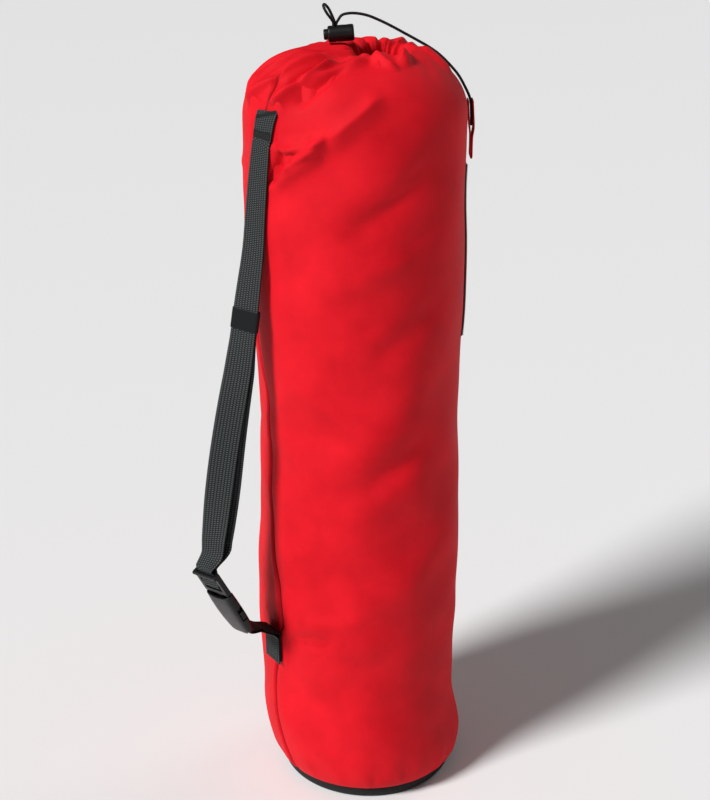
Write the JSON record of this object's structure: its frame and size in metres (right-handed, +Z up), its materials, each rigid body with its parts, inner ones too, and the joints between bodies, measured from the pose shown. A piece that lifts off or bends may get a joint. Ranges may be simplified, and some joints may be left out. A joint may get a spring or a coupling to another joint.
{
  "type": "drawstring bag for a rolled exercise mat",
  "caption": "Tall cylindrical drawstring bag for a rolled exercise mat, with a side shoulder strap, a side-release buckle and a sprung cord lock on the gathered mouth.",
  "frame": {"origin": "the middle of the standing bag at the floor, on the flat underside of the base panel", "axes": "+Z up along the bag; -X towards the seam and the shoulder strap; the cord lock lies square to the pictured front, which is turned 34 degrees from -Y towards -X"},
  "size_m": [0.27, 0.1942, 0.7324],
  "materials": {
    "red_cloth": "red plain-woven polyester with a soft peach-skin sheen",
    "base_mesh": "black ribbed mesh",
    "zip_tape": "black zip tape with a coil",
    "webbing": "black ribbed webbing",
    "label_satin": "black satin, bare",
    "buckle_plastic": "black moulded acetal with a low sheen",
    "lock_plastic": "black moulded plastic, fine grain",
    "cord_braid": "black braided cord",
    "tab_cloth": "red cloth, folded"
  },
  "bodies": {
    "bag": {"bag_body": "red_cloth", "base_panel": "base_mesh", "side_pocket": "red_cloth", "pocket_zip": "zip_tape", "strap_upper": "webbing", "strap_label": "label_satin", "strap_lower": "webbing", "buckle_prongs": "buckle_plastic", "buckle_cover": "buckle_plastic", "cord_lock_barrel": "lock_plastic", "draw_loop": "cord_braid", "draw_cord": "cord_braid", "pull_tab": "tab_cloth"},
    "plunger": {"cord_lock_plunger": "lock_plastic"}
  },
  "joints": [
    {"name": "plunger_press", "type": "slide", "parent": "bag", "child": "plunger", "axis": [0.8259, -0.5571, 0.0872], "range_m": [0, 0.003], "stiffness_N_per_m": 300, "springref_m": -0.005}
  ]
}
